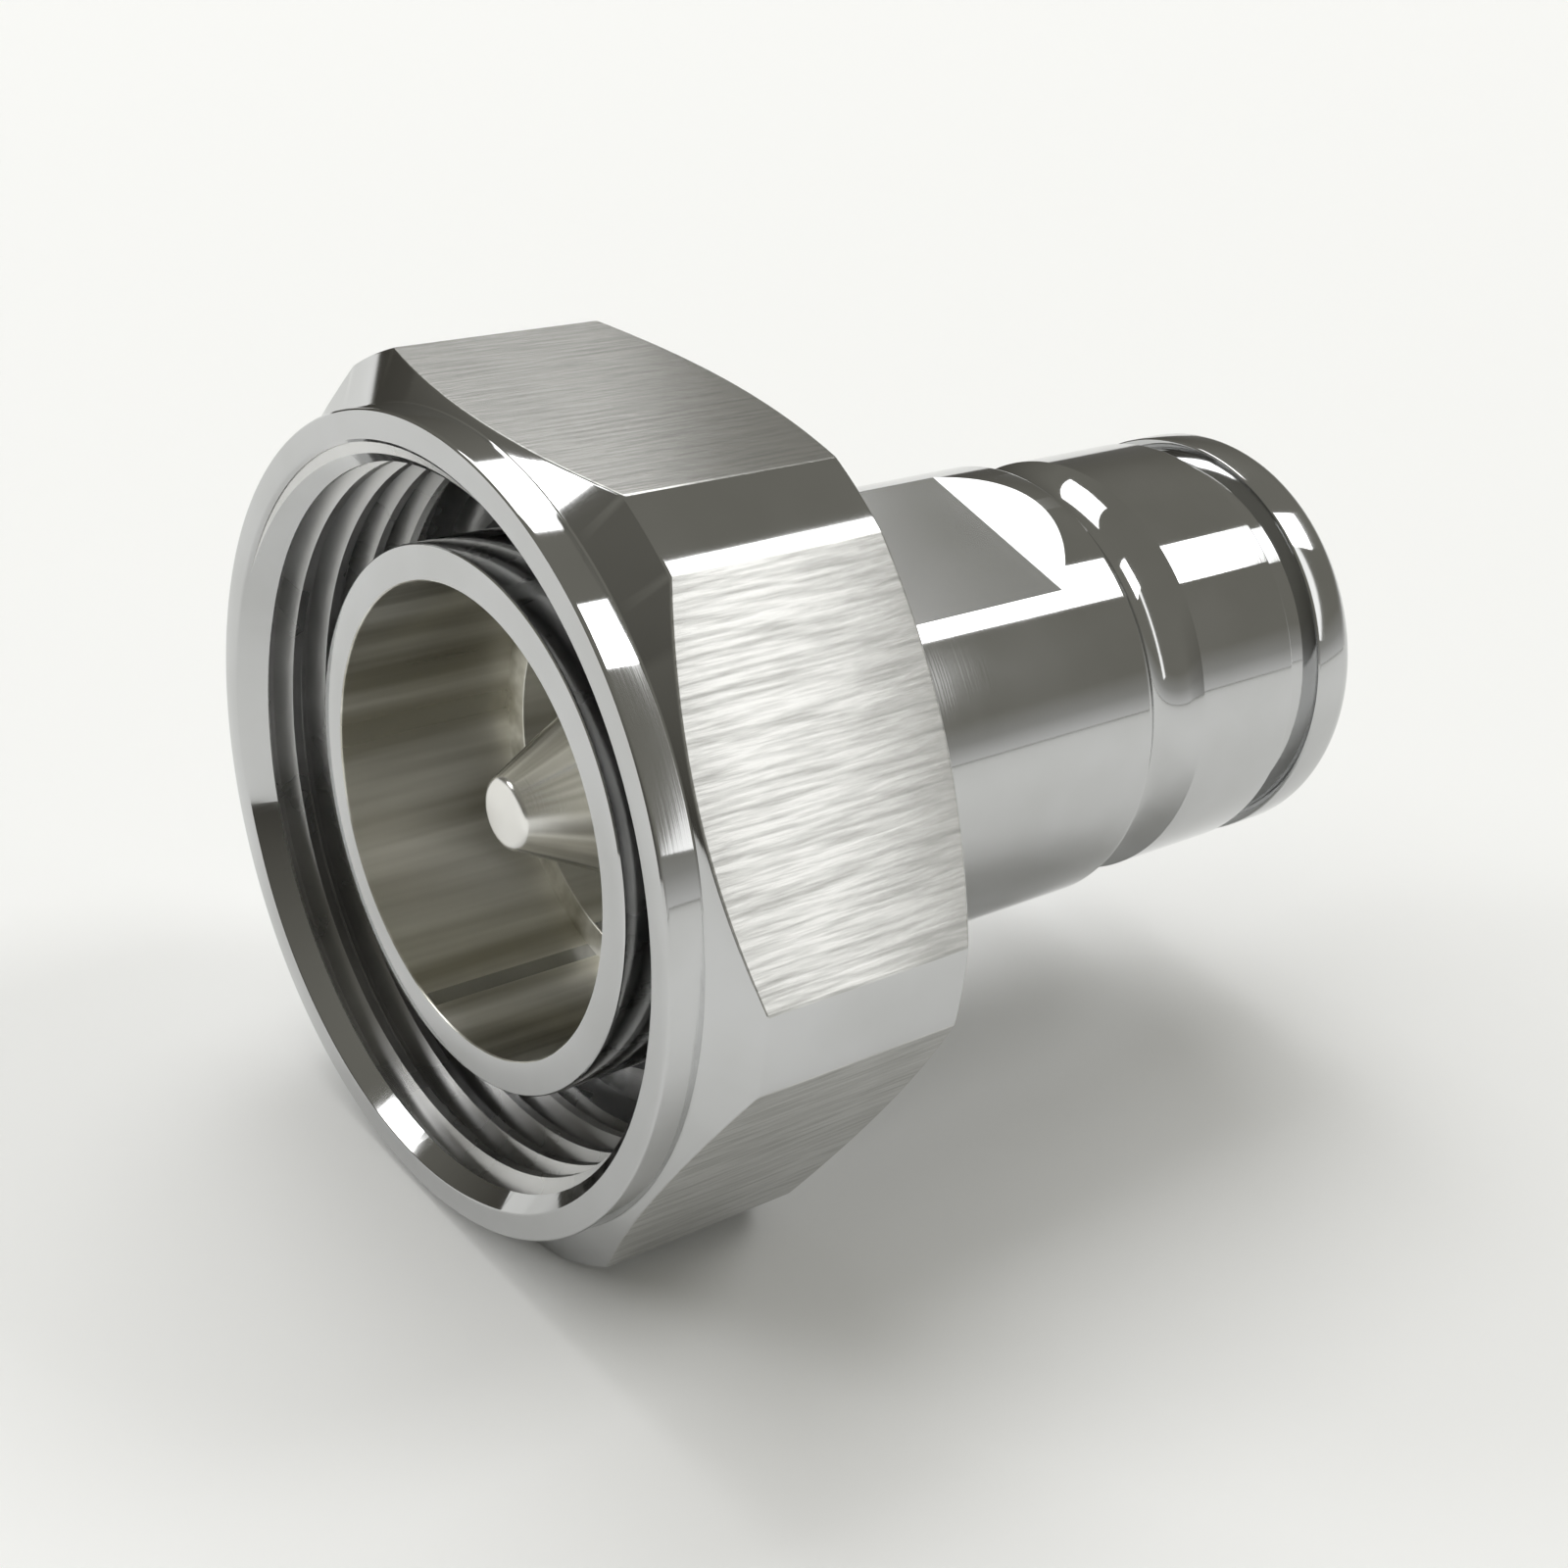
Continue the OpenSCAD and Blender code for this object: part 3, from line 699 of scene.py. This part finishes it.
# Braid ring and cable grommet
# The cable's braid is folded over the tapered brass ring and squeezed by a thick
# rubber grommet, which has a vee in each end so that it closes on the cable.

BRAID_BORE = 3.655
BRAID_TAPER_FRONT = 17.8
BRAID_STEP = 18.9
VEE = 5.99
VEE_DEPTH = 0.5
GROMMET_BORE = 5.1
GROMMET_FRONT = BRAID_STEP + SEAT_GAP
GROMMET_REAR = 21.13

braid_outline = [
    (BUSH_REAR, BRAID_BORE, 0.08), (BUSH_REAR, SEATED, 0.1),
    (BRAID_TAPER_FRONT, SEATED, 0.15), (BRAID_STEP + VEE_DEPTH, VEE, 0.1),
    (BRAID_STEP, GROMMET_BORE, 0.1), (BRAID_STEP, BRAID_BORE, 0.1),
]
grommet_outline = [
    (GROMMET_FRONT, GROMMET_BORE, 0.1), (GROMMET_FRONT + VEE_DEPTH, VEE, 0.1),
    (GROMMET_FRONT, SEATED, 0.1), (GROMMET_REAR, SEATED, 0.1),
    (GROMMET_REAR - VEE_DEPTH, VEE, 0.1), (GROMMET_REAR, GROMMET_BORE, 0.1),
]

braid_ring = turn_on_lathe("braid_ring", braid_outline, RING_STEPS)
smooth_shade(braid_ring)
braid_ring.data.materials.append(bare_brass)
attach(braid_ring, "connector_body")
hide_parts("braid_clamp")

cable_grommet = turn_on_lathe("cable_grommet", grommet_outline, RING_STEPS)
smooth_shade(cable_grommet)
cable_grommet.data.materials.append(seal_rubber)
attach(cable_grommet, "connector_body")
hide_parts("cable_seal")


# Thrust washer
# A flat turned washer between the grommet and the rear nut, so that the nut can
# turn without twisting the rubber. Plated brass, satin.

CABLE_BORE = 5.35
WASHER_FRONT = 21.155
WASHER_REAR = 21.93

washer_outline = [
    (WASHER_FRONT, CABLE_BORE, 0.08), (WASHER_FRONT, SEATED, 0.08),
    (WASHER_REAR, SEATED, 0.08), (WASHER_REAR, CABLE_BORE, 0.08),
]

washer_plate = turned_metal(
    "washer_plate", colour=(0.62, 0.61, 0.58), worn_and_shade=(0.55, 0.54, 0.51), rough=0.3, spread=0.6,
    ring_pitch=0.1, ring_depth=0.002)

washer = turn_on_lathe("washer", washer_outline, RING_STEPS)
smooth_shade(washer)
washer.data.materials.append(washer_plate)
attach(washer, "thrust_washer")
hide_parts("thrust_washer")


# Rear nut and its seal
# The clamp nut screws into the body's rear and presses the washer on the grommet.
# It is turned from brass bar, with a waisted neck, a barrel, a groove for a shrink
# sleeve and a rounded end. A rubber ring behind its thread keeps water out.

REAR_NUT_FRONT = 21.98
REAR_THREAD = 7.43
LEAD = 6.915
LEAD_END = REAR_NUT_FRONT + REAR_THREAD - LEAD
REAR_THREAD_END = 25.78
REAR_SEAL_SEAT = 6.4
REAR_SEAL_SEAT_END = 27.08
NECK_MIDDLE = 28.78
NECK_RIM = 8.91
NECK_ROUND = 2.3525
NECK_DEPTH = 0.5
NECK_HALF = 1.45
NECK_STEPS = 12
BARREL = 9.21
BARREL_FRONT = NECK_MIDDLE + NECK_HALF + BARREL - NECK_RIM
SLEEVE_GROOVE = 8.71
SLEEVE_GROOVE_FRONT = 36.13
SLEEVE_GROOVE_REAR = 37.83
END_ROUND = 0.9
END_STEPS = 9
REAR = 40.33
FLARE = 5.95
FLARE_FRONT = REAR - FLARE + CABLE_BORE

REAR_PITCH = 1.0
DIE_START = 20.43
DIE_TURNS = 6
DIE_ROOT = 6.889
HALF_DIE_ROOT = REAR_PITCH / 8
HALF_DIE_MOUTH = 0.484
REAR_SEAL_SECTION = 0.5
REAR_SEAL_RADIUS = REAR_SEAL_SEAT + SEAT_GAP + REAR_SEAL_SECTION
REAR_SEAL_PLACE = (REAR_THREAD_END + REAR_SEAL_SEAT_END) / 2

neck = []
for k in range(NECK_STEPS + 1):
    off_middle = NECK_HALF * (2 * k / NECK_STEPS - 1)
    hollow = math.sqrt(NECK_ROUND ** 2 - off_middle ** 2)
    neck.append((NECK_MIDDLE + off_middle, NECK_RIM - NECK_DEPTH + NECK_ROUND - hollow))
rounded_end = []
for k in range(END_STEPS + 1):
    turn = math.radians(90 * k / END_STEPS)
    end_x = REAR - END_ROUND * (1 - math.sin(turn))
    rounded_end.append((end_x, BARREL - END_ROUND * (1 - math.cos(turn))))
rear_outline = [
    (REAR_NUT_FRONT, CABLE_BORE, 0.05), (REAR_NUT_FRONT, LEAD), (LEAD_END, REAR_THREAD),
    (REAR_THREAD_END, REAR_THREAD, 0.05), (REAR_THREAD_END, REAR_SEAL_SEAT),
    (REAR_SEAL_SEAT_END, REAR_SEAL_SEAT), (REAR_SEAL_SEAT_END, REAR_THREAD),
    (NECK_MIDDLE - NECK_HALF, REAR_THREAD), *neck, (BARREL_FRONT, BARREL),
    (SLEEVE_GROOVE_FRONT, BARREL, 0.12), (SLEEVE_GROOVE_FRONT, SLEEVE_GROOVE),
    (SLEEVE_GROOVE_REAR, SLEEVE_GROOVE), (SLEEVE_GROOVE_REAR, BARREL, 0.12),
    *rounded_end, (REAR, FLARE, 0.1), (FLARE_FRONT, CABLE_BORE),
]

clamp_plate = bright_plate("clamp_plate")

rear_nut = turn_on_lathe("rear_nut", rear_outline, FINE_STEPS)
die = thread_cutter("die", [
    (DIE_START - HALF_DIE_MOUTH, BODY_THREAD), (DIE_START - HALF_DIE_ROOT, DIE_ROOT),
    (DIE_START + HALF_DIE_ROOT, DIE_ROOT), (DIE_START + HALF_DIE_MOUTH, BODY_THREAD),
], REAR_PITCH, DIE_TURNS)
cut_away(rear_nut, die)
smooth_shade(rear_nut)
rear_nut.data.materials.append(clamp_plate)
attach(rear_nut, "clamp_nut")
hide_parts("clamp_nut")

rear_seal = turn_on_lathe(
    "rear_seal", ring_outline(REAR_SEAL_PLACE, REAR_SEAL_RADIUS, REAR_SEAL_SECTION), RING_STEPS)
smooth_shade(rear_seal)
rear_seal.data.materials.append(seal_rubber)
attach(rear_seal, "clamp_nut")
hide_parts("clamp_seal")


# Floor
# A large table top, painted matt white. The nut's lower flat stands on it, and it
# catches the plug's shadow.

TABLE_SIZE = 10

bpy.ops.object.select_all(action="DESELECT")
bpy.ops.mesh.primitive_plane_add(size=TABLE_SIZE, location=(0, 0, -NUT_FLAT * MM))
table_top = bpy.context.object
table_top.name = "table_top"
table_paint, nodes, links, shader, place = nodes_for("table_paint")
shader.inputs["Base Color"].default_value = (0.90, 0.905, 0.90, 1)
shader.inputs["Roughness"].default_value = 0.9
shader.inputs["Specular IOR Level"].default_value = 0.1
table_top.data.materials.append(table_paint)


# Studio light
# A dim room with a pale wall low on the right. The key softbox stands high on the
# right, a wide one behind the plug, one to its left, and a narrow strip on the right
# that lights the nut's front flat. A large lamp lights the table and isn't reflected.

WALL_FOOT = (0.70, 0.70, 0.68)
WALL_MIDDLE = (0.37, 0.367, 0.345)
ROOM_FOOT = (0.065, 0.061, 0.051)
ROOM_TOP = (0.225, 0.219, 0.190)
WALL_DIRECTION = (0.64, -0.77, 0)
LAMP_DISTANCE = 2.5

room = bpy.data.worlds.new("room")
bpy.context.scene.world = room
room.use_nodes = True
nodes = room.node_tree.nodes
links = room.node_tree.links
looking = nodes.new("ShaderNodeTexCoord").outputs["Generated"]
rise = nodes.new("ShaderNodeSeparateXYZ")
links.new(looking, rise.inputs[0])
sideways = nodes.new("ShaderNodeVectorMath")
sideways.operation = "DOT_PRODUCT"
sideways.inputs[1].default_value = WALL_DIRECTION
links.new(looking, sideways.inputs[0])
turned_right = nodes.new("ShaderNodeMapRange")
turned_right.inputs["From Min"].default_value = -0.2
turned_right.inputs["From Max"].default_value = 0.5
links.new(sideways.outputs["Value"], turned_right.inputs["Value"])
dark_side = tone_ramp(nodes, links, rise.outputs["Z"], [(0, ROOM_FOOT), (0.6, ROOM_TOP)])
pale_side = tone_ramp(
    nodes, links, rise.outputs["Z"], [(0, WALL_FOOT), (0.12, WALL_MIDDLE), (0.26, ROOM_TOP)])
walls = nodes.new("ShaderNodeMix")
walls.data_type = "RGBA"
links.new(turned_right.outputs["Result"], walls.inputs["Factor"])
links.new(dark_side, walls.inputs[6])
links.new(pale_side, walls.inputs[7])
links.new(walls.outputs[2], nodes["Background"].inputs["Color"])


def softbox(name, lean, turn, width, height, level):
    """A lamp turned so many degrees round the plug's axis and leaning towards its rear."""
    lean = math.radians(lean)
    turn = math.radians(turn)
    aim = Vector((math.sin(lean), math.cos(lean) * math.cos(turn), math.cos(lean) * math.sin(turn)))
    around = Vector((0, -math.sin(turn), math.cos(turn)))
    facing = Matrix((around.cross(aim), around, aim)).transposed()
    bpy.ops.object.light_add(type="AREA", location=aim * LAMP_DISTANCE, rotation=facing.to_euler())
    lamp = bpy.context.object
    lamp.name = name
    lamp.data.shape = "RECTANGLE"
    lamp.data.size = 2 * LAMP_DISTANCE * math.tan(math.radians(width / 2))
    lamp.data.size_y = 2 * LAMP_DISTANCE * math.tan(math.radians(height / 2))
    lamp.data.energy = level * math.pi * lamp.data.size * lamp.data.size_y
    return lamp


softbox("key_lamp", lean=38.3, turn=106.5, width=19.7, height=16.5, level=5)
softbox("back_lamp", lean=13.6, turn=58, width=42.5, height=27.4, level=3.0)
softbox("left_lamp", lean=-45.2, turn=35.3, width=15, height=14, level=6)
softbox("strip_lamp", lean=36.3, turn=137.5, width=5.9, height=49, level=1.42)
table_lamp = softbox("table_lamp", lean=-20, turn=56, width=70, height=70, level=1.2)
table_lamp.visible_glossy = False


# Camera
# Stands in front of the plug's mouth, to its left and above. Its lens and shift
# frame the plug as in the photograph.

bpy.ops.object.camera_add()
camera = bpy.context.object
to_right = Vector((0.7762, -0.6196, 0.1169))
to_top = Vector((0.2390, 0.4607, 0.8548))
to_back = Vector((-0.5834, -0.6355, 0.5057))
stand = Vector((-42.82, -66.74, 46.40)) * MM
aimed = Matrix((to_right, to_top, to_back)).transposed().to_4x4()
camera.matrix_world = Matrix.Translation(stand) @ aimed
camera.data.lens = 55.79
camera.data.sensor_width = 36
camera.data.shift_x = -0.0255
camera.data.shift_y = 0.0488
camera.data.clip_start = 0.005
bpy.context.scene.camera = camera
bpy.context.scene.view_settings.view_transform = "Standard"
